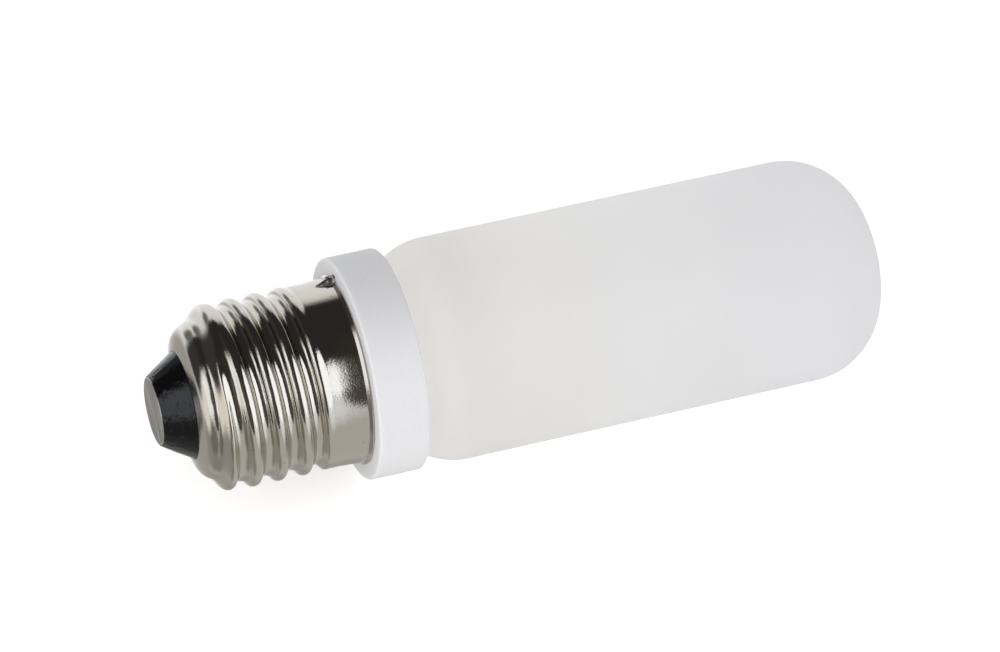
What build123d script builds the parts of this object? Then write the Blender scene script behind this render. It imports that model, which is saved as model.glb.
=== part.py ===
from build123d import *

import os
from math import acos, atan, atan2, cos, degrees, radians, sin, sqrt

# Frosted tubular lamp with an E27 screw cap.
# The lamp's axis is X. The end contact's face is at X = 0 and the domed end of the glass points along +X.

# End contact: a flat disc on a rivet that goes through the insulator
contact_d = 9.7
contact_thickness = 0.9
contact_proud = 0.1
contact_edge_break = 0.08
rivet_d = 2.6
rivet_clinch = 0.6
lead_socket_depth = 2.5

# Black glass insulator: a cone outside the shell and a plug inside it
insulator_nose_d = 10.1
insulator_base_d = 15.3
insulator_nose_length = 4.2
insulator_plug_length = 2.2
glass_gap = 0.05

# Screw shell: pressed sheet with a rounded nose, a rolled thread, a plain skirt and a turned-out lip
shell_wall = 0.3
shell_nose_d = 22.1
shell_nose_radius = 2.3
skirt_d = 26.0
skirt_length = 5.3
skirt_ramp_run = 1.4
lip_d = 27.1
lip_flare = 0.45

# E27 thread: right-handed, with round crests and roots of one radius, each trimmed to a narrow land
thread_pitch = 3.629
thread_crest_d = 26.3
thread_root_d = 24.1
thread_start = 3.7
thread_start_angle = 48.6
thread_half_turns = 6
land_trim = 0.03
ridge_rise_run = 1.8
ridge_rise_radius = 0.9
ridge_fall_run = 1.6
run_out_lift = 0.1
run_join_lift = 0.02
groove_headroom = 0.5

# Ceramic collar: flange a little smaller than the envelope, spigot inside the skirt and socket for the neck
collar_inset = 0.05
collar_width = 7.4
collar_edge_break = 0.4
spigot_set_back = 0.4
collar_bore_d = 16.0
socket_depth = 5.2

# Frosted glass envelope
envelope_d = 31.7
envelope_reach = 70.9
neck_d = 25.1
neck_set_in = 0.3
shoulder_radius = 9.8
dome_corner_radius = 10.8
dome_crown_radius = 26.0

# Cement layers
neck_cement_thickness = 0.45
shell_cement_thickness = 0.45
shell_cement_set_back = 0.5

# Leads and solder
lead_d = 0.6
lead_gap = 0.05
side_lead_offset = 6.5
side_lead_tail = 1.2
lead_slot_width = 1.3
lead_slot_depth = 1.0
solder_angle = 71.0
solder_length = 2.9
solder_height = 1.1

# Stations along the axis
shell_x = contact_proud + insulator_nose_length
nose_x = shell_x + shell_nose_radius
thread_x = shell_x + thread_start
skirt_x = thread_x + (thread_half_turns + 2) * thread_pitch / 2
collar_x = skirt_x + skirt_length
lip_x = collar_x - shell_wall - lip_flare
spigot_x = skirt_x + spigot_set_back
collar_back_x = collar_x + collar_width
socket_x = collar_back_x - socket_depth
tip_x = collar_back_x + envelope_reach

# Radii that follow from the sizes above
contact_r = contact_d / 2
rivet_r = rivet_d / 2
base_r = insulator_base_d / 2
shell_hole_r = base_r + glass_gap
nose_r = shell_nose_d / 2
nose_centre_r = nose_r - shell_nose_radius
crest_r = thread_crest_d / 2
root_r = thread_root_d / 2
blank_r = crest_r - land_trim
thread_bore_r = root_r - shell_wall
skirt_r = skirt_d / 2
skirt_bore_r = skirt_r - shell_wall
lip_r = lip_d / 2
spigot_r = skirt_bore_r - shell_cement_thickness
neck_r = neck_d / 2
socket_r = neck_r + neck_cement_thickness
envelope_r = envelope_d / 2
collar_r = envelope_r - collar_inset
lead_r = lead_d / 2

# Thread arcs: crest and root circles of one radius, half a pitch apart, that touch on the flank
thread_depth = crest_r - root_r
thread_arc = ((thread_pitch / 2) ** 2 + thread_depth**2) / (4 * thread_depth)
flank_angle = degrees(atan2(2 * thread_arc - thread_depth, thread_pitch / 2))
land_half = sqrt(thread_arc**2 - (thread_arc - land_trim) ** 2)
flank_turn = degrees(atan2(thread_arc - land_trim, land_half)) - flank_angle

os.makedirs("parts", exist_ok=True)


def groove_half_turn(lift_at_start, lift_at_end):
    """Half a turn of the thread's groove, starting above the axis, with its root raised by the two lifts."""
    half_pitch = thread_pitch / 2
    cone_angle = degrees(atan((lift_at_end - lift_at_start) / half_pitch))
    slant_pitch = thread_pitch / cos(radians(cone_angle))
    root_centre = root_r + thread_arc + lift_at_start
    crest_centre = crest_r - thread_arc + lift_at_start
    mouth_r = crest_r + lift_at_start + groove_headroom
    with BuildPart() as groove:
        with BuildLine() as path:
            start_r = root_r + lift_at_start
            Helix(slant_pitch, half_pitch, start_r, direction=(1, 0, 0), cone_angle=cone_angle)
        with BuildSketch(Plane.XZ):
            with BuildLine():
                left_root = CenterArc((0, root_centre), thread_arc, 180 + flank_angle, flank_turn)
                right_root = CenterArc((0, root_centre), thread_arc, -flank_angle, -flank_turn)
                Line(left_root @ 1, right_root @ 1)
                left_crest = CenterArc((-half_pitch, crest_centre), thread_arc, flank_angle, flank_turn)
                right_start = 180 - flank_angle
                right_crest = CenterArc((half_pitch, crest_centre), thread_arc, right_start, -flank_turn)
                left_edge = left_crest @ 1
                right_edge = right_crest @ 1
                Polyline(right_edge, (right_edge.X, mouth_r), (left_edge.X, mouth_r), left_edge)
            make_face()
        sweep(path=path.line, is_frenet=True)
    return groove.part


def lip_outline(start_x, start_r):
    """Skirt and turned-out lip as one outline down to the axis, joined to a point ahead of the skirt."""
    Polyline(
        (start_x, start_r),
        (skirt_x, skirt_r),
        (lip_x, skirt_r),
        (collar_x - shell_wall, skirt_r + lip_flare),
        (collar_x - shell_wall, lip_r),
        (collar_x, lip_r),
        (collar_x, 0),
    )


# Screw shell: turned blank, then the groove cut half a turn at a time, then the inside of the sheet
faded_lift = thread_depth + run_out_lift
run_in = groove_half_turn(faded_lift, run_join_lift)
full_groove = groove_half_turn(0, 0)
run_out = groove_half_turn(run_join_lift, faded_lift)
grooves = [run_in] + [full_groove] * thread_half_turns + [run_out]

with BuildPart() as screw_shell:
    with BuildSketch(Plane.XZ):
        with BuildLine():
            ridge_end = (skirt_x - ridge_fall_run, blank_r)
            nose = JernArc((shell_x, nose_centre_r), (0, 1), shell_nose_radius, -90)
            FilletPolyline(nose @ 1, (nose_x + ridge_rise_run, blank_r), ridge_end, radius=ridge_rise_radius)
            lip_outline(*ridge_end)
            Polyline((collar_x, 0), (shell_x, 0), nose @ 0)
        make_face()
    revolve(axis=Axis.X)
    for index, groove in enumerate(grooves):
        start_turn = thread_start_angle - 90 + 180 * index
        with Locations(Location((thread_x + index * thread_pitch / 2, 0, 0), (start_turn, 0, 0))):
            add(groove, mode=Mode.SUBTRACT)
    with BuildSketch(Plane.XZ):
        with BuildLine():
            inner_x = shell_x + shell_wall
            Polyline(
                (inner_x, nose_centre_r),
                (nose_x, nose_r - shell_wall),
                (nose_x + ridge_rise_run, thread_bore_r),
                (skirt_x - skirt_ramp_run, thread_bore_r),
                (skirt_x, skirt_bore_r),
                (lip_x, skirt_bore_r),
                (collar_x, skirt_r + lip_flare),
                (collar_x, 0),
                (inner_x, 0),
                close=True,
            )
        make_face()
    revolve(axis=Axis.X, mode=Mode.SUBTRACT)
    with BuildSketch(Plane.YZ.offset(shell_x)):
        Circle(shell_hole_r)
    extrude(amount=shell_wall, mode=Mode.SUBTRACT)
screw_shell.part.label = "screw_shell"
export_step(screw_shell.part, "parts/screw_shell.step")

# Insulator: cone, waist through the shell's hole, and plug that follows the inside of the shell's nose
plug_x = shell_x + shell_wall + glass_gap
plug_end_x = plug_x + insulator_plug_length

with BuildPart() as glass_insulator:
    with BuildSketch(Plane.XZ):
        with BuildLine():
            plug_r = nose_r - shell_wall - glass_gap
            Polyline(
                (plug_x, nose_centre_r),
                (nose_x, plug_r),
                (plug_end_x, plug_r),
                (plug_end_x, 0),
                (contact_proud, 0),
                (contact_proud, insulator_nose_d / 2),
                (shell_x, base_r),
                (plug_x, base_r),
                close=True,
            )
        make_face()
    revolve(axis=Axis.X)
    with BuildSketch(Plane.YZ.offset(contact_thickness)):
        Circle(contact_r + glass_gap)
    extrude(amount=contact_proud - contact_thickness, mode=Mode.SUBTRACT)
    with BuildSketch(Plane.YZ.offset(plug_end_x)):
        Circle(rivet_r + glass_gap)
    extrude(amount=contact_thickness - plug_end_x, mode=Mode.SUBTRACT)
glass_insulator.part.label = "glass_insulator"
export_step(glass_insulator.part, "parts/glass_insulator.step")

# End contact: disc, rivet and the blind hole that takes the centre lead
rivet_end_x = plug_end_x + rivet_clinch
lead_end_x = rivet_end_x - lead_socket_depth

with BuildPart() as centre_contact:
    with BuildSketch(Plane.YZ):
        Circle(contact_r)
    extrude(amount=contact_thickness)
    chamfer(centre_contact.edges().sort_by(Axis.X)[0], contact_edge_break)
    with BuildSketch(Plane.YZ.offset(contact_thickness)):
        Circle(rivet_r)
    extrude(amount=rivet_end_x - contact_thickness)
    with BuildSketch(Plane.YZ.offset(lead_end_x)):
        Circle(lead_r + lead_gap)
    extrude(amount=lead_socket_depth, mode=Mode.SUBTRACT)
centre_contact.part.label = "centre_contact"
export_step(centre_contact.part, "parts/centre_contact.step")

# Centre lead: straight wire from the envelope's neck to the bottom of the rivet's hole
with BuildPart() as centre_lead:
    with BuildSketch(Plane.YZ.offset(lead_end_x)):
        Circle(lead_r)
    extrude(amount=socket_x - lead_end_x)
centre_lead.part.label = "centre_lead"
export_step(centre_lead.part, "parts/centre_lead.step")

# Side lead: from the neck, out through the collar's slot and back over the lip to the solder
lead_plane = Plane.XZ.rotated((solder_angle - 90, 0, 0))
lead_out_r = lip_r + lead_gap + lead_r
slot_reach = lead_out_r + lead_r + lead_gap

with BuildPart() as side_lead:
    with BuildLine(lead_plane) as side_path:
        Polyline(
            (socket_x, side_lead_offset),
            (collar_x + lead_slot_depth / 2, side_lead_offset),
            (collar_x + lead_slot_depth / 2, lead_out_r),
            (collar_x - side_lead_tail, lead_out_r),
        )
    with BuildSketch(Plane(side_path.line @ 0, z_dir=side_path.line % 0)):
        Circle(lead_r)
    sweep(path=side_path.line, transition=Transition.RIGHT)
side_lead.part.label = "side_lead"
export_step(side_lead.part, "parts/side_lead.step")

# Ceramic collar with its bore, socket and the slot that lets the side lead out to the lip
with BuildPart() as ceramic_collar:
    with BuildSketch(Plane.XZ):
        with BuildLine():
            Polyline(
                (spigot_x, collar_bore_d / 2),
                (spigot_x, spigot_r),
                (collar_x, spigot_r),
                (collar_x, collar_r),
                (collar_back_x, collar_r),
                (collar_back_x, socket_r),
                (socket_x, socket_r),
                (socket_x, collar_bore_d / 2),
                close=True,
            )
        make_face()
    revolve(axis=Axis.X)
    rim_edges = ceramic_collar.edges().filter_by(GeomType.CIRCLE).group_by(SortBy.RADIUS)[-1]
    chamfer(rim_edges, collar_edge_break)
    with BuildSketch(lead_plane):
        with BuildLine():
            Polyline(
                (spigot_x, 0),
                (spigot_x, slot_reach),
                (collar_x + lead_slot_depth, slot_reach),
                (collar_x + lead_slot_depth, 0),
                close=True,
            )
        make_face()
    extrude(amount=lead_slot_width / 2, both=True, mode=Mode.SUBTRACT)
ceramic_collar.part.label = "ceramic_collar"
export_step(ceramic_collar.part, "parts/ceramic_collar.step")

# Side solder: a blunt-ended lump seated on the skirt and lip, round the end of the side lead
with BuildPart() as side_solder:
    with BuildSketch(lead_plane):
        with BuildLine():
            Polyline(
                (collar_x - solder_length, skirt_r),
                (collar_x - 0.8 * solder_length, skirt_r + 0.65 * solder_height),
                (collar_x - 0.45 * solder_length, skirt_r + solder_height),
                (collar_x, skirt_r + 0.8 * solder_height),
                (collar_x, skirt_r),
                close=True,
            )
        make_face()
    revolve(axis=Axis(lead_plane.y_dir * skirt_r, (1, 0, 0)))
    with BuildSketch(lead_plane):
        with BuildLine():
            lip_outline(thread_x, skirt_r)
            Polyline((collar_x, 0), (thread_x, 0), (thread_x, skirt_r))
        make_face()
    revolve(axis=Axis.X, mode=Mode.SUBTRACT)
    add(side_lead.part, mode=Mode.SUBTRACT)
side_solder.part.label = "side_solder"
export_step(side_solder.part, "parts/side_solder.step")

# Frosted envelope: neck in the collar, rounded shoulder, tube and domed end in one closed solid
shoulder_turn = acos(1 - (envelope_r - neck_r) / shoulder_radius)
shoulder_x = collar_back_x - neck_set_in + shoulder_radius * sin(shoulder_turn)
crown_reach = dome_crown_radius - dome_corner_radius
dome_reach = sqrt(crown_reach**2 - (envelope_r - dome_corner_radius) ** 2)
crown_turn = degrees(acos(dome_reach / crown_reach))
dome_x = tip_x - dome_crown_radius + dome_reach

with BuildPart() as glass_envelope:
    with BuildSketch(Plane.XZ):
        with BuildLine():
            shoulder = JernArc((shoulder_x, envelope_r), (-1, 0), shoulder_radius, degrees(shoulder_turn))
            corner = JernArc((dome_x, envelope_r), (1, 0), dome_corner_radius, crown_turn - 90)
            crown = JernArc(corner @ 1, corner % 1, dome_crown_radius, -crown_turn)
            Line(shoulder @ 0, corner @ 0)
            Polyline(shoulder @ 1, (socket_x, neck_r), (socket_x, 0), crown @ 1)
        make_face()
    revolve(axis=Axis.X)
glass_envelope.part.label = "glass_envelope"
export_step(glass_envelope.part, "parts/glass_envelope.step")

# Cement between the envelope's neck and the collar's socket
with BuildPart() as neck_cement:
    with BuildSketch(Plane.YZ.offset(socket_x)):
        Circle(socket_r)
        Circle(neck_r, mode=Mode.SUBTRACT)
    extrude(amount=socket_depth - neck_set_in)
neck_cement.part.label = "neck_cement"
export_step(neck_cement.part, "parts/neck_cement.step")

# Cement between the collar's spigot and the shell's skirt
cement_x = spigot_x + shell_cement_set_back

with BuildPart() as shell_cement:
    with BuildSketch(Plane.YZ.offset(cement_x)):
        Circle(skirt_bore_r)
        Circle(spigot_r, mode=Mode.SUBTRACT)
    extrude(amount=lip_x - cement_x)
shell_cement.part.label = "shell_cement"
export_step(shell_cement.part, "parts/shell_cement.step")
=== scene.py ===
from collections import namedtuple
from itertools import pairwise
from math import acos, atan2, cos, degrees, hypot, pi, radians, sin, sqrt, tau

import bpy
from bpy.props import FloatProperty, FloatVectorProperty, IntProperty, PointerProperty
from mathutils import Matrix, Vector, noise


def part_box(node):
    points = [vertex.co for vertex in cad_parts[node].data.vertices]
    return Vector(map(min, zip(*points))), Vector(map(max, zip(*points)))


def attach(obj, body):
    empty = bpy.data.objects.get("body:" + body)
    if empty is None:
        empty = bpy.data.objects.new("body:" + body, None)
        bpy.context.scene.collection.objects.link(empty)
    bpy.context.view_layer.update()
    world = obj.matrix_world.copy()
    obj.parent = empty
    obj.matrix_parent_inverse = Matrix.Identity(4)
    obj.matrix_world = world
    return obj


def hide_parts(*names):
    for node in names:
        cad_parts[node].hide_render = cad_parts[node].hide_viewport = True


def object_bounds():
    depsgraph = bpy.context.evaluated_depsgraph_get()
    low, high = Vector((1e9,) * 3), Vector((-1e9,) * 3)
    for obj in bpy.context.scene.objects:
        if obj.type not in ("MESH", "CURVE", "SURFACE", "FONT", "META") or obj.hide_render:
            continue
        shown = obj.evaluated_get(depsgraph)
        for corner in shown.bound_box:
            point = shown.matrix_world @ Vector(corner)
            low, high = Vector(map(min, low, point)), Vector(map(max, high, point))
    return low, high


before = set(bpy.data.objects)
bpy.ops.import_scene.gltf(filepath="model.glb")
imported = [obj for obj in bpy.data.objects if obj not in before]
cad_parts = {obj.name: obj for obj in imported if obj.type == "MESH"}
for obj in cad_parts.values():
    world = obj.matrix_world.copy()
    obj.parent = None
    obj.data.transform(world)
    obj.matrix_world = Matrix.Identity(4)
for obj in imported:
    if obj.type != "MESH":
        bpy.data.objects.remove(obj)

bl_info = {
    "name": "Modeling lamp bulb",
    "version": (1, 0, 0),
    "blender": (4, 5, 0),
    "location": "View3D > Sidebar > Lamp",
    "description": "Dresses the lamp's solids: frosted glass, ceramic collar and nickel-plated screw cap",
    "category": "Object",
}

MM = 0.001
CAD_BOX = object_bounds()

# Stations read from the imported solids, in metres along the lamp's axis
SHELL_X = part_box("screw_shell")[0][0]
COLLAR_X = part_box("screw_shell")[1][0]
LIP_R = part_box("screw_shell")[1][2]
SPIGOT_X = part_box("ceramic_collar")[0][0]
COLLAR_BACK_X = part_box("ceramic_collar")[1][0]
COLLAR_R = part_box("ceramic_collar")[1][2]
SOCKET_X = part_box("glass_envelope")[0][0]
TIP_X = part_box("glass_envelope")[1][0]
ENVELOPE_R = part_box("glass_envelope")[1][2]
CONTACT_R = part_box("centre_contact")[1][2]
RIVET_END_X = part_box("centre_contact")[1][0]
INSULATOR_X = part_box("glass_insulator")[0][0]
PLUG_END_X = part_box("glass_insulator")[1][0]
PLUG_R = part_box("glass_insulator")[1][2]
FLOOR_Z = CAD_BOX[0][2]


def linear(hex_colour):
    """sRGB hex colour as linear red, green and blue."""
    channels = [int(hex_colour[i : i + 2], 16) / 255 for i in (1, 3, 5)]
    return tuple(c / 12.92 if c <= 0.04045 else ((c + 0.055) / 1.055) ** 2.4 for c in channels)


def length(name, description, default_mm):
    """A length property in metres, with its default in millimetres."""
    default = default_mm * MM
    return FloatProperty(name=name, description=description, default=default, unit="LENGTH", precision=5)


def colour(name, description, default_hex):
    """A colour property, with its default as sRGB hex."""
    default = linear(default_hex)
    return FloatVectorProperty(name=name, description=description, default=default, subtype="COLOR")


class LampSizes(bpy.types.PropertyGroup):
    """Sizes of the lamp's visible forms that the solids' boxes don't give."""

    pitch: length("Thread pitch", "Distance between crests of the thread", 3.629)
    crest_r: length("Crest radius", "Outside radius of the thread", 13.15)
    root_r: length("Root radius", "Radius at the bottom of the thread", 12.05)
    thread_x: length("Thread start", "Where the groove begins, from the shell's nose", 3.7)
    thread_length: length("Thread length", "Length of the groove, fades included", 14.516)
    thread_angle: FloatProperty(
        name="Thread angle",
        description="Where round the axis the groove begins",
        default=radians(48.6),
        subtype="ANGLE",
    )
    nose_r: length("Nose radius", "Radius of the shell at the top of the nose's bend", 11.23)
    nose_bend: length("Nose bend", "Radius of the bend round the nose", 2.7)
    nose_x: length("Nose reach", "Centre of the nose's bend, from the shell's nose", 3.05)
    rise_x: length("Rise start", "Where the rise to the thread begins, from the shell's nose", 2.1)
    rise_end_x: length("Rise end", "Where the rise reaches the first ridge, from the shell's nose", 3.5)
    first_ridge: length("First ridge", "How much lower the first ridge is than the others", 0.25)
    shell_hole_r: length("Shell hole", "Radius of the hole for the insulator", 7.7)
    skirt_r: length("Skirt radius", "Radius of the plain skirt", 13.0)
    sheet: length("Sheet thickness", "Thickness of the shell's sheet", 0.3)
    insulator_nose_r: length("Insulator nose", "Radius of the insulator at the contact", 5.05)
    insulator_base_r: length("Insulator base", "Radius of the insulator at the shell", 7.65)
    contact_depth: length("Contact depth", "Thickness of the end contact", 0.9)
    collar_rim: length("Collar rim", "Rounding of the collar's rims", 0.42)
    neck_r: length("Neck radius", "Radius of the glass neck in the collar", 12.55)
    shoulder: length("Shoulder", "Radius of the rounded shoulder of the glass", 9.8)
    dome_corner: length("Dome corner", "Radius of the corner of the domed end", 10.8)
    dome_crown: length("Dome crown", "Radius of the crown of the domed end", 26.0)
    solder_angle: FloatProperty(
        name="Solder angle",
        description="Where round the axis the solder sits",
        default=radians(71.0),
        subtype="ANGLE",
    )
    turned_steps: IntProperty(
        name="Turned steps", description="Faces round a turned piece", default=160, min=24
    )
    thread_steps: IntProperty(
        name="Thread steps", description="Faces round the threaded shell", default=200, min=96
    )


class LampColours(bpy.types.PropertyGroup):
    """Colours of the lamp's finishes and of the stage."""

    glass: colour("Frosted glass", "Etched glass of the envelope", "#EFEFF0")
    # Painted light: the glass near the shoulder is drawn lighter than the rest, standing in for the light
    # that the collar's shade takes from it; its slight warmth is the glass's own tint
    glass_warm_painted_light: colour("Warm glass with painted light", "Etched glass near the shoulder", "#F8F7F5")
    ceramic: colour("Ceramic", "Fired ceramic of the collar", "#E9E9EB")
    nickel: colour("Nickel", "Bright nickel plate", "#CEC8BD")
    tarnish: colour("Tarnish", "Brown spots on the plate", "#6E4A38")
    black_glass: colour("Black glass", "Glass of the insulator", "#08080A")
    contact: colour("Contact metal", "Tinned disc of the end contact", "#C2BFBA")
    solder: colour("Solder", "Frozen tin solder", "#C9C7C3")
    wire: colour("Lead wire", "Drawn nickel wire", "#9C968D")
    cement: colour("Cement", "Dry lamp cement", "#C9C4B8")
    floor: colour("Floor", "Paper under the lamp", "#F2F2F2")


def sizes():
    return bpy.context.scene.lamp_sizes


def colours():
    return bpy.context.scene.lamp_colours


def add_node(tree, kind, inputs=None, **settings):
    """Adds a node, sets its settings, and sets or links each input."""
    node = tree.nodes.new(kind)
    for key, value in settings.items():
        setattr(node, key, value)
    for key, value in (inputs or {}).items():
        if isinstance(value, bpy.types.NodeSocket):
            tree.links.new(value, node.inputs[key])
        else:
            node.inputs[key].default_value = value
    return node


def new_material(name):
    """An empty node material and its tree."""
    material = bpy.data.materials.new(name)
    material.use_nodes = True
    material.node_tree.nodes.clear()
    return material, material.node_tree


def surface(tree, shader):
    add_node(tree, "ShaderNodeOutputMaterial", {"Surface": shader.outputs[0]})


def rgba(rgb):
    return (*rgb, 1.0)


def ramp(tree, factor, stops, **settings):
    """A colour ramp with its stops given as position and linear colour."""
    node = add_node(tree, "ShaderNodeValToRGB", {"Fac": factor}, **settings)
    elements = node.color_ramp.elements
    while len(elements) < len(stops):
        elements.new(0.5)
    for element, (position, rgb) in zip(elements, stops):
        element.position = position
        element.color = rgba(rgb)
    return node


def grey(value):
    return (value, value, value)


def etched_glass():
    """Soda-lime glass, blown and acid-etched: a pale satin surface that shows no clear reflection, painted
    lighter near the shoulder where the collar shades it.
    """
    material, tree = new_material("Etched soda-lime glass")
    place = add_node(tree, "ShaderNodeTexCoord").outputs["Object"]
    along = add_node(tree, "ShaderNodeSeparateXYZ", {"Vector": place}).outputs["X"]
    reach = add_node(
        tree,
        "ShaderNodeMapRange",
        {"Value": along, "From Min": COLLAR_BACK_X, "From Max": COLLAR_BACK_X + 45 * MM},
    )
    cloud = add_node(tree, "ShaderNodeTexNoise", {"Vector": place, "Scale": 1 / (16 * MM), "Detail": 1.0})
    # Painted light: towards the collar the glass is drawn lighter, to make up for the shade of the collar
    # and the dark neck there; the slight warmth is the glass's own
    tint = ramp(tree, reach.outputs["Result"], [(0.0, colours().glass_warm_painted_light), (1.0, colours().glass)])
    shade = ramp(tree, cloud.outputs["Fac"], [(0.3, grey(0.97)), (0.65, grey(1.0))])
    base = add_node(
        tree,
        "ShaderNodeMix",
        {"Factor": 1.0, 6: tint.outputs["Color"], 7: shade.outputs["Color"]},
        data_type="RGBA",
        blend_type="MULTIPLY",
    )
    # Etching pits are far finer than a pixel, so they are drawn 0.3 mm wide
    pits = add_node(tree, "ShaderNodeTexNoise", {"Vector": place, "Scale": 1 / (0.3 * MM), "Detail": 2.0})
    bump = add_node(
        tree, "ShaderNodeBump", {"Strength": 0.06, "Distance": 0.02 * MM, "Height": pits.outputs["Fac"]}
    )
    skin = add_node(
        tree,
        "ShaderNodeBsdfPrincipled",
        {
            "Base Color": base.outputs[2],
            "Roughness": 0.48,
            "IOR": 1.5,
            "Normal": bump.outputs["Normal"],
        },
    )
    # A thin etched wall lets most of the light through and spreads it
    glow = add_node(
        tree, "ShaderNodeBsdfTranslucent", {"Color": base.outputs[2], "Normal": bump.outputs["Normal"]}
    )
    shader = add_node(tree, "ShaderNodeMixShader", {0: 0.78, 1: skin.outputs[0], 2: glow.outputs[0]})
    surface(tree, shader)
    return material


def fired_ceramic():
    """Steatite ceramic, pressed and fired without glaze: bright white with a soft sheen and fine grain."""
    material, tree = new_material("Fired steatite ceramic")
    place = add_node(tree, "ShaderNodeTexCoord").outputs["Object"]
    grain = add_node(tree, "ShaderNodeTexNoise", {"Vector": place, "Scale": 1 / (0.4 * MM), "Detail": 3.0})
    base = ramp(
        tree,
        grain.outputs["Fac"],
        [(0.35, [c * 0.975 for c in colours().ceramic]), (0.65, colours().ceramic)],
    )
    bump = add_node(
        tree, "ShaderNodeBump", {"Strength": 0.08, "Distance": 0.02 * MM, "Height": grain.outputs["Fac"]}
    )
    shader = add_node(
        tree,
        "ShaderNodeBsdfPrincipled",
        {
            "Base Color": base.outputs["Color"],
            "Roughness": 0.42,
            "IOR": 1.55,
            "Subsurface Weight": 0.15,
            "Subsurface Radius": (1.0, 1.0, 1.0),
            "Subsurface Scale": 1.5 * MM,
            "Normal": bump.outputs["Normal"],
        },
    )
    surface(tree, shader)
    return material


def nickel_plate():
    """Nickel plate on rolled sheet: a warm mirror, broken up by the sheet's waves and grain."""
    material, tree = new_material("Nickel plate on rolled sheet")
    place = add_node(tree, "ShaderNodeTexCoord").outputs["Object"]
    mapping = add_node(tree, "ShaderNodeMapping", {"Vector": place, "Scale": (1.5, 1.0, 1.0)})
    waves = add_node(
        tree,
        "ShaderNodeTexNoise",
        {"Vector": mapping.outputs["Vector"], "Scale": 1 / (3.2 * MM), "Detail": 1.0},
    )
    grain = add_node(tree, "ShaderNodeTexNoise", {"Vector": place, "Scale": 1 / (0.28 * MM), "Detail": 2.0})
    wave_bump = add_node(
        tree, "ShaderNodeBump", {"Strength": 0.35, "Distance": 0.05 * MM, "Height": waves.outputs["Fac"]}
    )
    grain_bump = add_node(
        tree,
        "ShaderNodeBump",
        {
            "Strength": 0.5,
            "Distance": 0.021 * MM,
            "Height": grain.outputs["Fac"],
            "Normal": wave_bump.outputs["Normal"],
        },
    )
    along = add_node(tree, "ShaderNodeSeparateXYZ", {"Vector": place}).outputs["X"]
    # The nose is drawn deepest, so its plate is duller than the thread's
    dull = add_node(
        tree,
        "ShaderNodeMapRange",
        {
            "Value": along,
            "From Min": SHELL_X + 3 * MM,
            "From Max": SHELL_X + 6 * MM,
            "To Min": 0.11,
            "To Max": 0.09,
        },
    )
    specks = add_node(
        tree, "ShaderNodeTexVoronoi", {"Vector": place, "Scale": 1 / (2.4 * MM), "Randomness": 1.0}
    )
    spots = ramp(tree, specks.outputs["Distance"], [(0.03, colours().tarnish), (0.055, colours().nickel)])
    shader = add_node(
        tree,
        "ShaderNodeBsdfPrincipled",
        {
            "Base Color": spots.outputs["Color"],
            "Metallic": 1.0,
            "Roughness": dull.outputs["Result"],
            "Normal": grain_bump.outputs["Normal"],
        },
    )
    surface(tree, shader)
    return material


def moulded_black_glass():
    """Black glass, pressed hot into the cap: deep gloss with small pits and chips towards the contact."""
    material, tree = new_material("Pressed black glass")
    place = add_node(tree, "ShaderNodeTexCoord").outputs["Object"]
    pits = add_node(tree, "ShaderNodeTexNoise", {"Vector": place, "Scale": 1 / (0.45 * MM), "Detail": 3.0})
    bump = add_node(
        tree, "ShaderNodeBump", {"Strength": 0.5, "Distance": 0.08 * MM, "Height": pits.outputs["Fac"]}
    )
    shader = add_node(
        tree,
        "ShaderNodeBsdfPrincipled",
        {
            "Base Color": rgba(colours().black_glass),
            "Roughness": 0.12,
            "IOR": 1.5,
            "Specular IOR Level": 0.46,
            "Normal": bump.outputs["Normal"],
        },
    )
    surface(tree, shader)
    return material


def stamped_contact_metal():
    """Tinned brass, stamped flat: a soft grey sheen with faint straight scratches."""
    material, tree = new_material("Stamped tinned brass")
    place = add_node(tree, "ShaderNodeTexCoord").outputs["Object"]
    combed = add_node(
        tree,
        "ShaderNodeMapping",
        {"Vector": place, "Rotation": (radians(50), 0, 0), "Scale": (1.0, 1.0, 0.16)},
        vector_type="TEXTURE",
    ).outputs["Vector"]
    lines = add_node(tree, "ShaderNodeTexNoise", {"Vector": combed, "Scale": 1 / (7.5 * MM), "Detail": 3.0})
    bump = add_node(
        tree, "ShaderNodeBump", {"Strength": 0.4, "Distance": 0.03 * MM, "Height": lines.outputs["Fac"]}
    )
    streaks = ramp(
        tree,
        lines.outputs["Fac"],
        [(0.38, [c * 0.6 for c in colours().contact]), (0.62, colours().contact)],
    )
    # The rim is rubbed bright by the holder's spring
    flat = add_node(tree, "ShaderNodeVectorMath", {0: place, 1: (0.0, 1.0, 1.0)}, operation="MULTIPLY")
    reach = add_node(tree, "ShaderNodeVectorMath", {0: flat.outputs["Vector"]}, operation="LENGTH")
    rim = add_node(
        tree,
        "ShaderNodeMapRange",
        {
            "Value": reach.outputs["Value"],
            "From Min": CONTACT_R - 0.16 * MM,
            "From Max": CONTACT_R - 0.06 * MM,
        },
    )
    base = add_node(
        tree,
        "ShaderNodeMix",
        {"Factor": rim.outputs["Result"], 6: streaks.outputs["Color"], 7: rgba(colours().solder)},
        data_type="RGBA",
    )
    gloss = add_node(
        tree, "ShaderNodeMapRange", {"Value": rim.outputs["Result"], "To Min": 0.36, "To Max": 0.15}
    )
    shader = add_node(
        tree,
        "ShaderNodeBsdfPrincipled",
        {
            "Base Color": base.outputs[2],
            "Metallic": 1.0,
            "Roughness": gloss.outputs["Result"],
            "Normal": bump.outputs["Normal"],
        },
    )
    surface(tree, shader)
    return material


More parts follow.
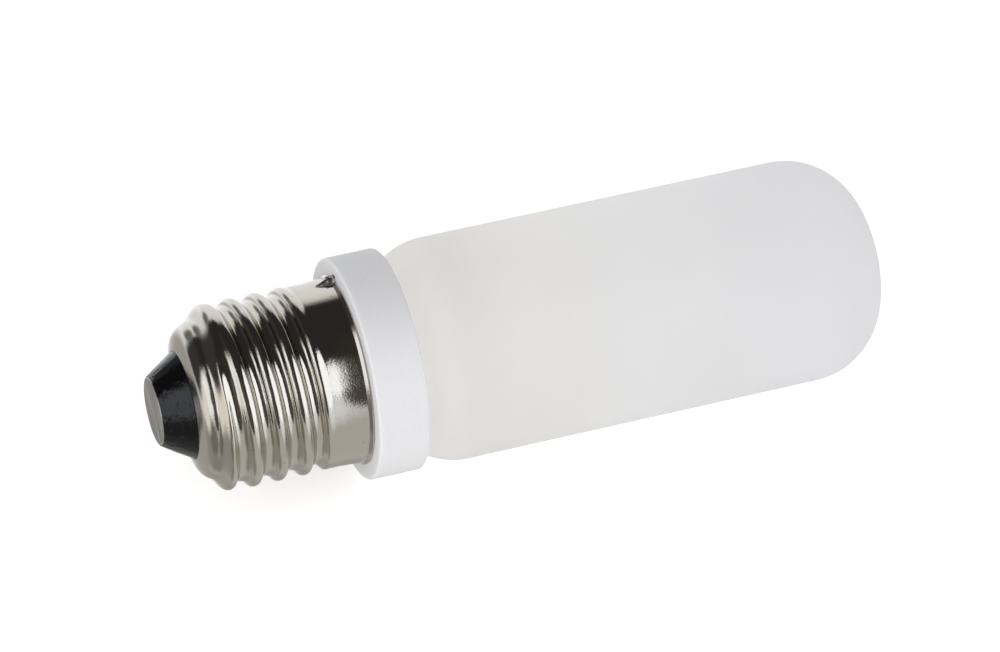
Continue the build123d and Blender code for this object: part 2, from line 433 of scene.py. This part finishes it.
def frozen_solder():
    """Tin solder, frozen as it flowed: bright and uneven, with folds that mirror light and dark."""
    material, tree = new_material("Frozen tin solder")
    place = add_node(tree, "ShaderNodeTexCoord").outputs["Object"]
    folds = add_node(tree, "ShaderNodeTexNoise", {"Vector": place, "Scale": 1 / (0.6 * MM), "Detail": 2.0})
    bump = add_node(
        tree, "ShaderNodeBump", {"Strength": 0.35, "Distance": 0.1 * MM, "Height": folds.outputs["Fac"]}
    )
    shader = add_node(
        tree,
        "ShaderNodeBsdfPrincipled",
        {
            "Base Color": rgba(colours().solder),
            "Metallic": 1.0,
            "Roughness": 0.27,
            "Normal": bump.outputs["Normal"],
        },
    )
    surface(tree, shader)
    return material


def drawn_wire():
    """Nickel wire, drawn: dull grey metal."""
    material, tree = new_material("Drawn nickel wire")
    shader = add_node(
        tree,
        "ShaderNodeBsdfPrincipled",
        {"Base Color": rgba(colours().wire), "Metallic": 1.0, "Roughness": 0.35},
    )
    surface(tree, shader)
    return material


def dry_cement():
    """Lamp cement, pressed in wet and baked dry: chalky and matte with coarse grain."""
    material, tree = new_material("Baked lamp cement")
    place = add_node(tree, "ShaderNodeTexCoord").outputs["Object"]
    grit = add_node(tree, "ShaderNodeTexNoise", {"Vector": place, "Scale": 1 / (0.5 * MM), "Detail": 3.0})
    base = ramp(
        tree, grit.outputs["Fac"], [(0.3, [c * 0.8 for c in colours().cement]), (0.7, colours().cement)]
    )
    shader = add_node(
        tree, "ShaderNodeBsdfPrincipled", {"Base Color": base.outputs["Color"], "Roughness": 0.9}
    )
    surface(tree, shader)
    return material


def arc(centre_x, centre_r, radius, start, end, steps):
    """Points of an arc in the plane of axis and radius, angles in degrees from +X."""
    turns = [radians(start + (end - start) * i / steps) for i in range(steps + 1)]
    return [(centre_x + radius * cos(t), centre_r + radius * sin(t)) for t in turns]


def run(start, end, step):
    """Points along a straight run, evenly spaced at about the step, without the first."""
    count = max(1, round(hypot(end[0] - start[0], end[1] - start[1]) / step))
    return [tuple(a + (b - a) * i / count for a, b in zip(start, end)) for i in range(1, count + 1)]


def ease(low, high, value):
    """Smooth step from 0 at low to 1 at high."""
    t = min(max((value - low) / (high - low), 0.0), 1.0)
    return t * t * (3 - 2 * t)


def turn(name, outline, steps):
    """A piece turned about X: the outline is drawn point by point, spun a full turn and closed."""
    bpy.ops.object.select_all(action="DESELECT")
    bpy.ops.mesh.primitive_plane_add(size=MM, location=(outline[0][0], 0, outline[0][1]))
    piece = bpy.context.object
    piece.name = piece.data.name = name
    bpy.ops.object.transform_apply(location=True, rotation=True, scale=True)
    bpy.ops.object.mode_set(mode="EDIT")
    bpy.ops.mesh.select_all(action="SELECT")
    bpy.ops.mesh.merge(type="CENTER")
    for (x0, r0), (x1, r1) in pairwise(outline):
        bpy.ops.mesh.extrude_vertices_move(TRANSFORM_OT_translate={"value": (x1 - x0, 0, r1 - r0)})
    bpy.ops.mesh.select_all(action="SELECT")
    bpy.ops.mesh.spin(steps=steps, angle=tau, center=(0, 0, 0), axis=(1, 0, 0))
    bpy.ops.mesh.select_all(action="SELECT")
    bpy.ops.mesh.remove_doubles(threshold=0.002 * MM)
    bpy.ops.mesh.normals_make_consistent(inside=False)
    bpy.ops.object.mode_set(mode="OBJECT")
    return piece


def face_outwards(mesh):
    """Turns a closed mesh right side out, by the sign of the volume that its faces enclose."""
    mesh.calc_loop_triangles()
    corners = ([mesh.vertices[i].co for i in triangle.vertices] for triangle in mesh.loop_triangles)
    if sum(a.dot(b.cross(c)) for a, b, c in corners) < 0:
        mesh.flip_normals()


def finish(piece, material, node, smooth_angle=35):
    """Gives a piece its smooth shading and material, puts it on the root body and hides the solid that it
    stands for.
    """
    face_outwards(piece.data)
    bpy.ops.object.select_all(action="DESELECT")
    piece.select_set(True)
    bpy.context.view_layer.objects.active = piece
    bpy.ops.object.shade_smooth_by_angle(angle=radians(smooth_angle))
    piece.data.materials.clear()
    piece.data.materials.append(material)
    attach(piece, "root")
    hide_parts(node)


def about_axis(angle, radius, x):
    """Point at an angle about X from +Y towards +Z."""
    return Vector((x, radius * cos(angle), radius * sin(angle)))


class LAMP_OT_envelope(bpy.types.Operator):
    """Turns the frosted glass envelope: neck, shoulder, tube and domed end"""

    bl_idname = "lamp.envelope"
    bl_label = "Frosted glass envelope"

    def execute(self, context):
        s = sizes()
        neck_in = 0.3 * MM
        shoulder_turn = acos(1 - (ENVELOPE_R - s.neck_r) / s.shoulder)
        shoulder_x = COLLAR_BACK_X - neck_in + s.shoulder * sin(shoulder_turn)
        crown_reach = s.dome_crown - s.dome_corner
        dome_reach = sqrt(crown_reach**2 - (ENVELOPE_R - s.dome_corner) ** 2)
        crown_turn = degrees(acos(dome_reach / crown_reach))
        dome_x = TIP_X - s.dome_crown + dome_reach
        outline = [(SOCKET_X, 0.0), (SOCKET_X, s.neck_r)]
        outline += run(outline[-1], (COLLAR_BACK_X - neck_in, s.neck_r), 1.2 * MM)
        outline += arc(
            shoulder_x, ENVELOPE_R - s.shoulder, s.shoulder, 90 + degrees(shoulder_turn), 90, 16
        )[1:]
        outline += run(outline[-1], (dome_x, ENVELOPE_R), 1.6 * MM)
        outline += arc(dome_x, ENVELOPE_R - s.dome_corner, s.dome_corner, 90, crown_turn, 18)[1:]
        outline += arc(TIP_X - s.dome_crown, 0.0, s.dome_crown, crown_turn, 0, 14)[1:]
        piece = turn("Glass_envelope", outline, s.turned_steps)
        finish(piece, etched_glass(), "glass_envelope")
        return {"FINISHED"}


class LAMP_OT_collar(bpy.types.Operator):
    """Turns the ceramic collar with rounded rims and cuts the slot for the side lead"""

    bl_idname = "lamp.collar"
    bl_label = "Ceramic collar"

    def execute(self, context):
        s = sizes()
        bore_r = 8.0 * MM
        cement = 0.45 * MM
        spigot_r = s.skirt_r - s.sheet - cement
        socket_r = s.neck_r + cement
        rim = s.collar_rim
        outline = [(SPIGOT_X, bore_r), (SPIGOT_X, spigot_r), (COLLAR_X, spigot_r)]
        outline += run(outline[-1], (COLLAR_X, COLLAR_R - rim), 1.0 * MM)
        outline += arc(COLLAR_X + rim, COLLAR_R - rim, rim, 180, 90, 6)[1:]
        outline += run(outline[-1], (COLLAR_BACK_X - rim, COLLAR_R), 1.0 * MM)
        outline += arc(COLLAR_BACK_X - rim, COLLAR_R - rim, rim, 90, 0, 6)[1:]
        outline += run(outline[-1], (COLLAR_BACK_X, socket_r), 1.0 * MM)
        outline += [(SOCKET_X, socket_r), (SOCKET_X, bore_r), outline[0]]
        piece = turn("Ceramic_collar", outline, s.turned_steps)
        self.cut_slot(piece, s.solder_angle)
        finish(piece, fired_ceramic(), "ceramic_collar")
        return {"FINISHED"}

    def cut_slot(self, piece, angle):
        slot_width = 1.3 * MM
        slot_depth = 1.0 * MM
        slot_reach = LIP_R + 0.7 * MM
        slot_run = COLLAR_X + slot_depth - SPIGOT_X
        bpy.ops.object.select_all(action="DESELECT")
        middle = about_axis(angle, slot_reach / 2, SPIGOT_X + slot_run / 2)
        bpy.ops.mesh.primitive_cube_add(size=1.0, location=middle, rotation=(angle, 0, 0))
        cutter = bpy.context.object
        cutter.scale = (slot_run + 0.2 * MM, slot_reach, slot_width)
        cutter.location.x -= 0.1 * MM
        bpy.ops.object.transform_apply(location=True, rotation=True, scale=True)
        slot_cut = piece.modifiers.new("Lead slot", "BOOLEAN")
        slot_cut.operation = "DIFFERENCE"
        slot_cut.object = cutter
        bpy.context.view_layer.objects.active = piece
        bpy.ops.object.modifier_apply(modifier=slot_cut.name)
        bpy.data.objects.remove(cutter, do_unlink=True)


class LAMP_OT_shell(bpy.types.Operator):
    """Turns the shell's blank and rolls the round thread into it"""

    bl_idname = "lamp.shell"
    bl_label = "Nickel-plated screw shell"
    ridge_run = 2.0 * MM

    def execute(self, context):
        piece = turn("Screw_shell", self.blank(sizes()), sizes().thread_steps)
        self.roll_thread(piece, sizes())
        finish(piece, nickel_plate(), "screw_shell", smooth_angle=50)
        return {"FINISHED"}

    def blank(self, s):
        """Outline of the pressed sheet: outside from the hole to the lip, then the inside back."""
        fine = 0.045 * MM
        bend_start = 165
        bend_end = 125
        nose = (SHELL_X + s.nose_x, s.nose_r - s.nose_bend)
        bend_x = nose[0] + s.nose_bend * cos(radians(bend_end))
        rise_end_x = SHELL_X + s.thread_x + self.ridge_run
        fall_x = SHELL_X + s.thread_x + s.thread_length - 1.6 * MM
        skirt_x = SHELL_X + s.thread_x + s.thread_length
        lip_bend = 0.45 * MM
        flare = 0.21 * MM
        flare_run = 3.5 * MM
        flare_curve = 1.6
        flare_angle = 42
        lip_root = 0.2 * MM
        edge = 0.16 * MM
        lip_x = COLLAR_X - s.sheet - lip_bend
        flare_x = lip_x - flare_run
        outline = [(SHELL_X + s.sheet, s.shell_hole_r), (SHELL_X, s.shell_hole_r)]
        bend = arc(*nose, s.nose_bend, bend_start, bend_end, 14)
        outline += run(outline[-1], bend[0], 0.3 * MM) + bend[1:]
        rise = run((bend_x, 0.0), (rise_end_x, 0.0), fine)
        outline += [(x, self.outside(s, x, s.thread_angle)) for x, _ in rise]
        outline += run((rise_end_x, s.crest_r), (fall_x, s.crest_r), fine)
        fall = run((fall_x, 0.0), (skirt_x, 0.0), fine)
        drop = s.crest_r - s.skirt_r
        outline += [(x, s.crest_r - drop * ease(fall_x, skirt_x, x)) for x, _ in fall]
        skirt = run((skirt_x, s.skirt_r), (lip_x, s.skirt_r), 0.2 * MM)
        for x, _ in skirt:
            along = max(0.0, (x - flare_x) / (lip_x - flare_x))
            outline.append((x, s.skirt_r + flare * along**flare_curve))
        outline += arc(lip_x, s.skirt_r + flare + lip_root, lip_root, 270, 270 + flare_angle, 5)[1:]
        outline += arc(COLLAR_X - edge, LIP_R - edge, edge, 90 + flare_angle, 0, 10)
        outline += [(COLLAR_X, s.skirt_r + lip_bend), (lip_x, s.skirt_r - s.sheet)]
        bore_r = s.root_r - s.sheet
        outline += [(skirt_x, s.skirt_r - s.sheet), (skirt_x - 1.4 * MM, bore_r), (rise_end_x, bore_r)]
        outline += arc(*nose, s.nose_bend - s.sheet, 95, bend_start, 8)
        outline += [outline[0]]
        return outline

    def outside(self, s, x, angle):
        """Radius of the blank's outside behind the bend, where the nose runs softly into the rise."""
        reach = 0.3 * MM
        spots = [x + reach * i / 4 for i in range(-4, 5)]
        return sum(self.sharp_outside(s, spot, angle) for spot in spots) / len(spots)

    def sharp_outside(self, s, x, angle):
        """Radius of the nose's bend, of the rise after it, and of the low first ridge up to the crest."""
        start_slant = 0.3
        start_beside = 0.22
        end_late = 1.5
        end_beside = 0.2
        slant = cos(angle - s.thread_angle)
        late = max(0.0, slant) ** 2
        beside = 1 - slant**2
        start = SHELL_X + s.rise_x + (start_slant * slant + start_beside * beside) * MM
        end = SHELL_X + s.rise_end_x + (end_late * late + end_beside * beside) * MM
        ridge_r = s.crest_r - s.first_ridge * (1 - late)
        bend_x = min(x, start) - SHELL_X - s.nose_x
        foot_r = s.nose_r - s.nose_bend + sqrt(s.nose_bend**2 - bend_x**2)
        climb = ease(end, SHELL_X + s.thread_x + self.ridge_run, x)
        return foot_r + (ridge_r - foot_r) * ease(start, end, x) + (s.crest_r - ridge_r) * climb

    def groove(self, s, x, angle):
        """Depth of the rolled groove: two arcs, fading in at its start and out at the skirt."""
        fade_in = 0.4 * s.pitch
        fade_out = 1.8 * MM
        depth = s.crest_r - s.root_r
        round_r = ((s.pitch / 2) ** 2 + depth**2) / (4 * depth)
        start_x = SHELL_X + s.thread_x
        end_x = start_x + s.thread_length
        turns = (x - start_x) / s.pitch - (angle - s.thread_angle) / tau
        across = abs(turns - round(turns)) * s.pitch
        if across < s.pitch / 4:
            cut = depth - round_r + sqrt(round_r**2 - across**2)
        else:
            cut = round_r - sqrt(round_r**2 - (s.pitch / 2 - across) ** 2)
        groove_x = x - (turns - round(turns)) * s.pitch
        return cut * ease(start_x, start_x + fade_in, groove_x) * (1 - ease(end_x - fade_out, end_x, x))

    def ridge_radius(self, s, x, angle):
        """Radius of the nose, the rise and the first ridge, whose crest is rolled round."""
        crest_round = 0.2 * MM
        ridge_x = SHELL_X + 2.3 * MM
        start_x = SHELL_X + s.thread_x
        on_ridge = ease(ridge_x, ridge_x + 0.5 * MM, x)
        off_ridge = ease(start_x + 0.9 * MM, start_x + self.ridge_run, x)
        reach = crest_round * on_ridge * (1 - off_ridge)
        spots = [x + reach * i / 3 for i in range(-3, 4)] if reach else [x]
        radii = [self.outside(s, spot, angle) - self.groove(s, spot, angle) for spot in spots]
        return sum(radii) / len(radii)

    def roll_thread(self, piece, s):
        """Moves each point of the outside to the radius that rolling leaves there."""
        start_x = SHELL_X + s.thread_x
        end_x = start_x + s.thread_length
        bend_x = SHELL_X + 1.4 * MM
        rise_end_x = start_x + self.ridge_run
        sheet_half = s.sheet / 2
        for point in piece.data.vertices:
            x, y, z = point.co
            radius = hypot(y, z)
            if not bend_x < x < end_x:
                continue
            if radius < min(self.outside(s, x, s.thread_angle), s.skirt_r) - sheet_half:
                continue
            angle = atan2(z, y)
            if x < rise_end_x:
                rolled_r = self.ridge_radius(s, x, angle)
            else:
                rolled_r = radius - self.groove(s, x, angle)
            point.co = (x, y * rolled_r / radius, z * rolled_r / radius)


class LAMP_OT_insulator(bpy.types.Operator):
    """Turns the black glass insulator and roughens its edge at the contact"""

    bl_idname = "lamp.insulator"
    bl_label = "Black glass insulator"

    def execute(self, context):
        s = sizes()
        gap = 0.05 * MM
        rivet_r = 1.3 * MM
        edge = 0.3 * MM
        seat_r = CONTACT_R + gap
        waist_x = SHELL_X + s.sheet + gap
        plug_x = SHELL_X + 2.3 * MM
        nose = (INSULATOR_X, s.insulator_nose_r - 0.1 * MM)
        cone_start = (INSULATOR_X + edge, s.insulator_nose_r + 0.16 * MM)
        outline = [(s.contact_depth, rivet_r + gap), (s.contact_depth, seat_r)]
        outline += [(INSULATOR_X + 0.1 * MM, seat_r), nose]
        outline += run(nose, cone_start, 0.12 * MM)
        outline += run(cone_start, (SHELL_X, s.insulator_base_r), 0.16 * MM)
        outline += [(waist_x, s.insulator_base_r), (waist_x + 0.3 * MM, s.nose_r - s.nose_bend)]
        outline += [(plug_x, PLUG_R), (PLUG_END_X, PLUG_R), (PLUG_END_X, rivet_r + gap), outline[0]]
        piece = turn("Glass_insulator", outline, s.turned_steps)
        self.chip(piece, s)
        finish(piece, moulded_black_glass(), "glass_insulator", smooth_angle=60)
        return {"FINISHED"}

    def chip(self, piece, s):
        """Small uneven dents, deepest at the edge round the contact."""
        dent_all_over = 0.04
        dent_at_edge = 0.13
        coarse = 0.8 * MM
        fine = 0.35 * MM
        for point in piece.data.vertices:
            x, y, z = point.co
            radius = hypot(y, z)
            if x > SHELL_X or radius < CONTACT_R + 0.06 * MM:
                continue
            near_edge = 1 - ease(INSULATOR_X, INSULATOR_X + 1.6 * MM, x)
            place = Vector((x, y, z))
            rough = noise.noise(place / coarse) + 0.5 * noise.noise(place / fine)
            dent = (dent_all_over + dent_at_edge * near_edge) * MM * max(0.0, rough + 0.25)
            scale = (radius - dent) / radius
            point.co = (x, y * scale, z * scale)


class LAMP_OT_contact(bpy.types.Operator):
    """Turns the flat end contact with its rivet"""

    bl_idname = "lamp.contact"
    bl_label = "End contact"

    def execute(self, context):
        s = sizes()
        edge = 0.12 * MM
        rivet_r = 1.3 * MM
        hole_r = 0.35 * MM
        hole_x = RIVET_END_X - 2.5 * MM
        outline = [(0.0, 0.0)] + run((0.0, 0.0), (0.0, CONTACT_R - edge), 0.4 * MM)
        outline += arc(edge, CONTACT_R - edge, edge, 180, 90, 5)[1:]
        outline += [(s.contact_depth, CONTACT_R), (s.contact_depth, rivet_r), (RIVET_END_X, rivet_r)]
        outline += [(RIVET_END_X, hole_r), (hole_x, hole_r), (hole_x, 0.0)]
        piece = turn("Centre_contact", outline, s.turned_steps)
        finish(piece, stamped_contact_metal(), "centre_contact")
        return {"FINISHED"}


class LAMP_OT_solder(bpy.types.Operator):
    """Shapes the lump of solder on the shell's lip"""

    bl_idname = "lamp.solder"
    bl_label = "Side solder"

    def execute(self, context):
        s = sizes()
        half_length = 1.9 * MM
        half_width = 1.1 * MM
        height = 1.2 * MM
        tail = 0.35
        fold_depth = 0.16
        bpy.ops.object.select_all(action="DESELECT")
        bpy.ops.mesh.primitive_ico_sphere_add(subdivisions=5, radius=1.0)
        piece = bpy.context.object
        piece.name = piece.data.name = "Side_solder"
        middle_x = COLLAR_X - 0.95 * MM
        for point in piece.data.vertices:
            x, across, out = point.co
            folds = noise.noise(Vector((x * 1.1 + 3.0, across * 1.4, out * 1.2)))
            swell = (tail + (1 - tail) * ease(-1.0, 0.4, x)) * (1 + fold_depth * folds)
            angle = s.solder_angle + half_width * across * swell / s.skirt_r
            end_x = min(middle_x + half_length * x, COLLAR_X)
            point.co = about_axis(angle, s.skirt_r + height * out * swell, end_x)
        finish(piece, frozen_solder(), "side_solder", smooth_angle=50)
        return {"FINISHED"}


class LAMP_OT_fittings(bpy.types.Operator):
    """Finishes the leads and the cement, which keep the shape of their solids"""

    bl_idname = "lamp.fittings"
    bl_label = "Leads and cement"

    def execute(self, context):
        wire = drawn_wire()
        cement = dry_cement()
        for node, material in (
            ("centre_lead", wire),
            ("side_lead", wire),
            ("neck_cement", cement),
            ("shell_cement", cement),
        ):
            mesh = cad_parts[node].data
            mesh.materials.clear()
            mesh.materials.append(material)
        return {"FINISHED"}


Softbox = namedtuple("Softbox", "name direction distance side watts")
SOFTBOXES = (
    Softbox(name="Front softbox", direction=(0.25, -0.93, 0.27), distance=0.8, side=0.6, watts=1.85),
    Softbox(name="Left softbox", direction=(-0.95, -0.2, 0.24), distance=0.8, side=0.5, watts=2.8),
)

Glow = namedtuple("Glow", "turn lean size soft level tint", defaults=((1.0, 1.0, 1.0),))
DOME_R = 0.6
ROOM_LEVEL = 0.85
WARM = (1.0, 0.985, 0.955)
COOL = (1.0, 1.04, 1.12)
BROWN = (1.0, 0.9, 0.8)

# Painted in this order: degrees about the lamp's axis from +Y, lean towards +X,
# radius, softness and brightness
GLOWS = (
    # Light at the left
    Glow(turn=130, lean=-60, size=24, soft=6, level=1.3, tint=(0.96, 1.0, 1.08)),
    # Table in front, lighter at the left, darker at the right and under the lamp
    Glow(turn=240, lean=0, size=66, soft=6, level=0.58, tint=WARM),
    Glow(turn=226, lean=-52, size=24, soft=8, level=0.22, tint=WARM),
    Glow(turn=258, lean=-26, size=16, soft=8, level=0.32, tint=WARM),
    Glow(turn=238, lean=-88, size=22, soft=8, level=1.05, tint=WARM),
    Glow(turn=281, lean=-48, size=16, soft=8, level=0.36, tint=WARM),
    Glow(turn=235, lean=72, size=26, soft=14, level=0.2, tint=WARM),
    Glow(turn=302, lean=0, size=22, soft=12, level=0.4, tint=WARM),
    # Dark ceiling and corners of the room
    Glow(turn=84, lean=14, size=43, soft=6, level=0.03),
    Glow(turn=56, lean=-26, size=29, soft=6, level=0.03),
    Glow(turn=78, lean=48, size=30, soft=6, level=0.03),
    Glow(turn=42, lean=-50, size=22, soft=8, level=0.05),
    Glow(turn=15, lean=-60, size=21, soft=7, level=0.05),
    Glow(turn=0, lean=62, size=18, soft=8, level=0.1),
    # White backdrop
    Glow(turn=-10, lean=4, size=40, soft=9, level=1.0, tint=(1.0, 1.02, 1.06)),
    Glow(turn=-24, lean=-14, size=14, soft=9, level=1.2, tint=(1.0, 1.02, 1.06)),
    Glow(turn=17, lean=-20, size=13, soft=6, level=0.2),
    # Floor behind the lamp, in its own shade
    Glow(turn=318, lean=-28, size=24, soft=12, level=0.45, tint=WARM),
    # Softbox at the right, with its spill towards the table
    Glow(turn=172, lean=40, size=33, soft=12, level=1.0, tint=COOL),
    Glow(turn=148, lean=42, size=32, soft=3, level=1.5, tint=COOL),
    # Dark camera and its stand, down to the table
    Glow(turn=112, lean=-14, size=24, soft=5, level=0.04, tint=BROWN),
    Glow(turn=132, lean=-15, size=25, soft=4, level=0.04, tint=BROWN),
    Glow(turn=150, lean=-15, size=25, soft=4, level=0.05, tint=BROWN),
    Glow(turn=170, lean=-12, size=24, soft=3, level=0.08, tint=BROWN),
    Glow(turn=139, lean=-30, size=15, soft=3, level=0.12, tint=BROWN),
    Glow(turn=172, lean=-26, size=17, soft=3, level=0.1, tint=BROWN),
)


def seen_by_mirrors(tree):
    """1 for rays from the camera, a reflection or through glass, and 0 for light on a surface."""
    path = add_node(tree, "ShaderNodeLightPath")
    either = add_node(
        tree,
        "ShaderNodeMath",
        {0: path.outputs["Is Camera Ray"], 1: path.outputs["Is Glossy Ray"]},
        operation="MAXIMUM",
    )
    return add_node(
        tree,
        "ShaderNodeMath",
        {0: either.outputs["Value"], 1: path.outputs["Is Transmission Ray"]},
        operation="MAXIMUM",
    ).outputs["Value"]


class LAMP_OT_stage(bpy.types.Operator):
    """Sets the paper floor, the dome that reflections show, the studio lights, the background and the
    camera
    """

    bl_idname = "lamp.stage"
    bl_label = "Stage"

    def execute(self, context):
        self.floor()
        self.dome()
        self.lights()
        self.world(context.scene)
        self.camera(context.scene)
        context.scene.view_settings.view_transform = "Standard"
        return {"FINISHED"}

    def floor(self):
        lift_for_light = 0.25
        lift_for_camera = 0.53
        bpy.ops.object.select_all(action="DESELECT")
        bpy.ops.mesh.primitive_plane_add(size=6.0, location=(0, 0, FLOOR_Z))
        floor = bpy.context.object
        floor.name = "Floor"
        material, tree = new_material("White paper floor")
        paper = add_node(tree, "ShaderNodeBsdfDiffuse", {"Color": rgba(colours().floor)})
        lift = add_node(
            tree,
            "ShaderNodeMapRange",
            {"Value": seen_by_mirrors(tree), "To Min": lift_for_light, "To Max": lift_for_camera},
        ).outputs["Result"]
        glow = add_node(tree, "ShaderNodeEmission", {"Strength": lift})
        shader = add_node(tree, "ShaderNodeAddShader", {0: paper.outputs[0], 1: glow.outputs[0]})
        surface(tree, shader)
        floor.data.materials.append(material)
        floor.visible_glossy = False

    def dome(self):
        """A dome that only reflections show, painted with the backdrop, the softbox and the dark room."""
        bpy.ops.object.select_all(action="DESELECT")
        bpy.ops.mesh.primitive_uv_sphere_add(segments=64, ring_count=32, radius=DOME_R)
        dome = bpy.context.object
        dome.name = "Studio dome"
        dome.visible_camera = False
        dome.visible_diffuse = False
        dome.visible_transmission = False
        dome.visible_shadow = False
        material, tree = new_material("Studio dome")
        place = add_node(tree, "ShaderNodeTexCoord").outputs["Object"]
        outward = add_node(tree, "ShaderNodeVectorMath", {0: place}, operation="NORMALIZE")
        painted = add_node(tree, "ShaderNodeRGB")
        painted.outputs[0].default_value = rgba(grey(ROOM_LEVEL))
        layer = painted.outputs[0]
        for glow in GLOWS:
            centre = about_axis(radians(glow.turn), cos(radians(glow.lean)), sin(radians(glow.lean)))
            facing = add_node(
                tree,
                "ShaderNodeVectorMath",
                {0: outward.outputs["Vector"], 1: centre},
                operation="DOT_PRODUCT",
            )
            cover = add_node(
                tree,
                "ShaderNodeMapRange",
                {
                    "Value": facing.outputs["Value"],
                    "From Min": cos(radians(glow.size + glow.soft)),
                    "From Max": cos(radians(max(glow.size - glow.soft, 0))),
                },
                interpolation_type="SMOOTHSTEP",
            )
            paint = rgba([glow.level * part for part in glow.tint])
            layer = add_node(
                tree,
                "ShaderNodeMix",
                {"Factor": cover.outputs["Result"], 6: layer, 7: paint},
                data_type="RGBA",
            ).outputs[2]
        surface(tree, add_node(tree, "ShaderNodeEmission", {"Color": layer}))
        dome.data.materials.append(material)

    def lights(self):
        for box in SOFTBOXES:
            data = bpy.data.lights.new(box.name, "AREA")
            data.size = box.side
            data.energy = box.watts
            lamp = bpy.data.objects.new(box.name, data)
            bpy.context.collection.objects.link(lamp)
            lamp.visible_glossy = False
            place = Vector(box.direction).normalized() * box.distance
            lamp.location = place
            lamp.rotation_euler = place.to_track_quat("Z", "Y").to_euler()

    def world(self, scene):
        fill = 0.69
        world = bpy.data.worlds.new("Studio")
        scene.world = world
        world.use_nodes = True
        tree = world.node_tree
        tree.nodes.clear()
        level = add_node(
            tree, "ShaderNodeMapRange", {"Value": seen_by_mirrors(tree), "To Min": fill, "To Max": 1.0}
        ).outputs["Result"]
        background = add_node(tree, "ShaderNodeBackground", {"Strength": level})
        add_node(tree, "ShaderNodeOutputWorld", {"Surface": background.outputs[0]})

    def camera(self, scene):
        azimuth = radians(-18.877)
        elevation = radians(39.813)
        distance = 837.73 * MM
        focal_px = 5979.6
        width_px = 1000
        target = Vector((50.618, 0.0, 1.743)) * MM
        back = Vector((sin(azimuth) * cos(elevation), -cos(azimuth) * cos(elevation), sin(elevation)))
        right = Vector((cos(azimuth), sin(azimuth), 0.0))
        up = back.cross(right)
        data = bpy.data.cameras.new("Camera")
        data.sensor_fit = "HORIZONTAL"
        data.lens = focal_px / width_px * data.sensor_width
        data.clip_start = 0.01
        camera = bpy.data.objects.new("Camera", data)
        bpy.context.collection.objects.link(camera)
        turn_matrix = Matrix((right, up, back)).transposed().to_4x4()
        camera.matrix_world = Matrix.Translation(target + back * distance) @ turn_matrix
        scene.camera = camera


class LAMP_PT_panel(bpy.types.Panel):
    """Lists the lamp's pieces, sizes and colours"""

    bl_label = "Modeling lamp bulb"
    bl_idname = "LAMP_PT_panel"
    bl_space_type = "VIEW_3D"
    bl_region_type = "UI"
    bl_category = "Lamp"

    def draw(self, context):
        for operator in OPERATORS:
            self.layout.operator(operator.bl_idname)
        for group in (context.scene.lamp_sizes, context.scene.lamp_colours):
            for key in group.__annotations__:
                self.layout.prop(group, key)


OPERATORS = (
    LAMP_OT_envelope,
    LAMP_OT_collar,
    LAMP_OT_shell,
    LAMP_OT_insulator,
    LAMP_OT_contact,
    LAMP_OT_solder,
    LAMP_OT_fittings,
    LAMP_OT_stage,
)
CLASSES = (LampSizes, LampColours, *OPERATORS, LAMP_PT_panel)


def register():
    for cls in CLASSES:
        bpy.utils.register_class(cls)
    bpy.types.Scene.lamp_sizes = PointerProperty(type=LampSizes)
    bpy.types.Scene.lamp_colours = PointerProperty(type=LampColours)


def unregister():
    del bpy.types.Scene.lamp_colours
    del bpy.types.Scene.lamp_sizes
    for cls in reversed(CLASSES):
        bpy.utils.unregister_class(cls)


def main():
    register()
    bpy.ops.lamp.envelope()
    bpy.ops.lamp.collar()
    bpy.ops.lamp.shell()
    bpy.ops.lamp.insulator()
    bpy.ops.lamp.contact()
    bpy.ops.lamp.solder()
    bpy.ops.lamp.fittings()
    bpy.ops.lamp.stage()


if __name__ == "__main__":
    main()
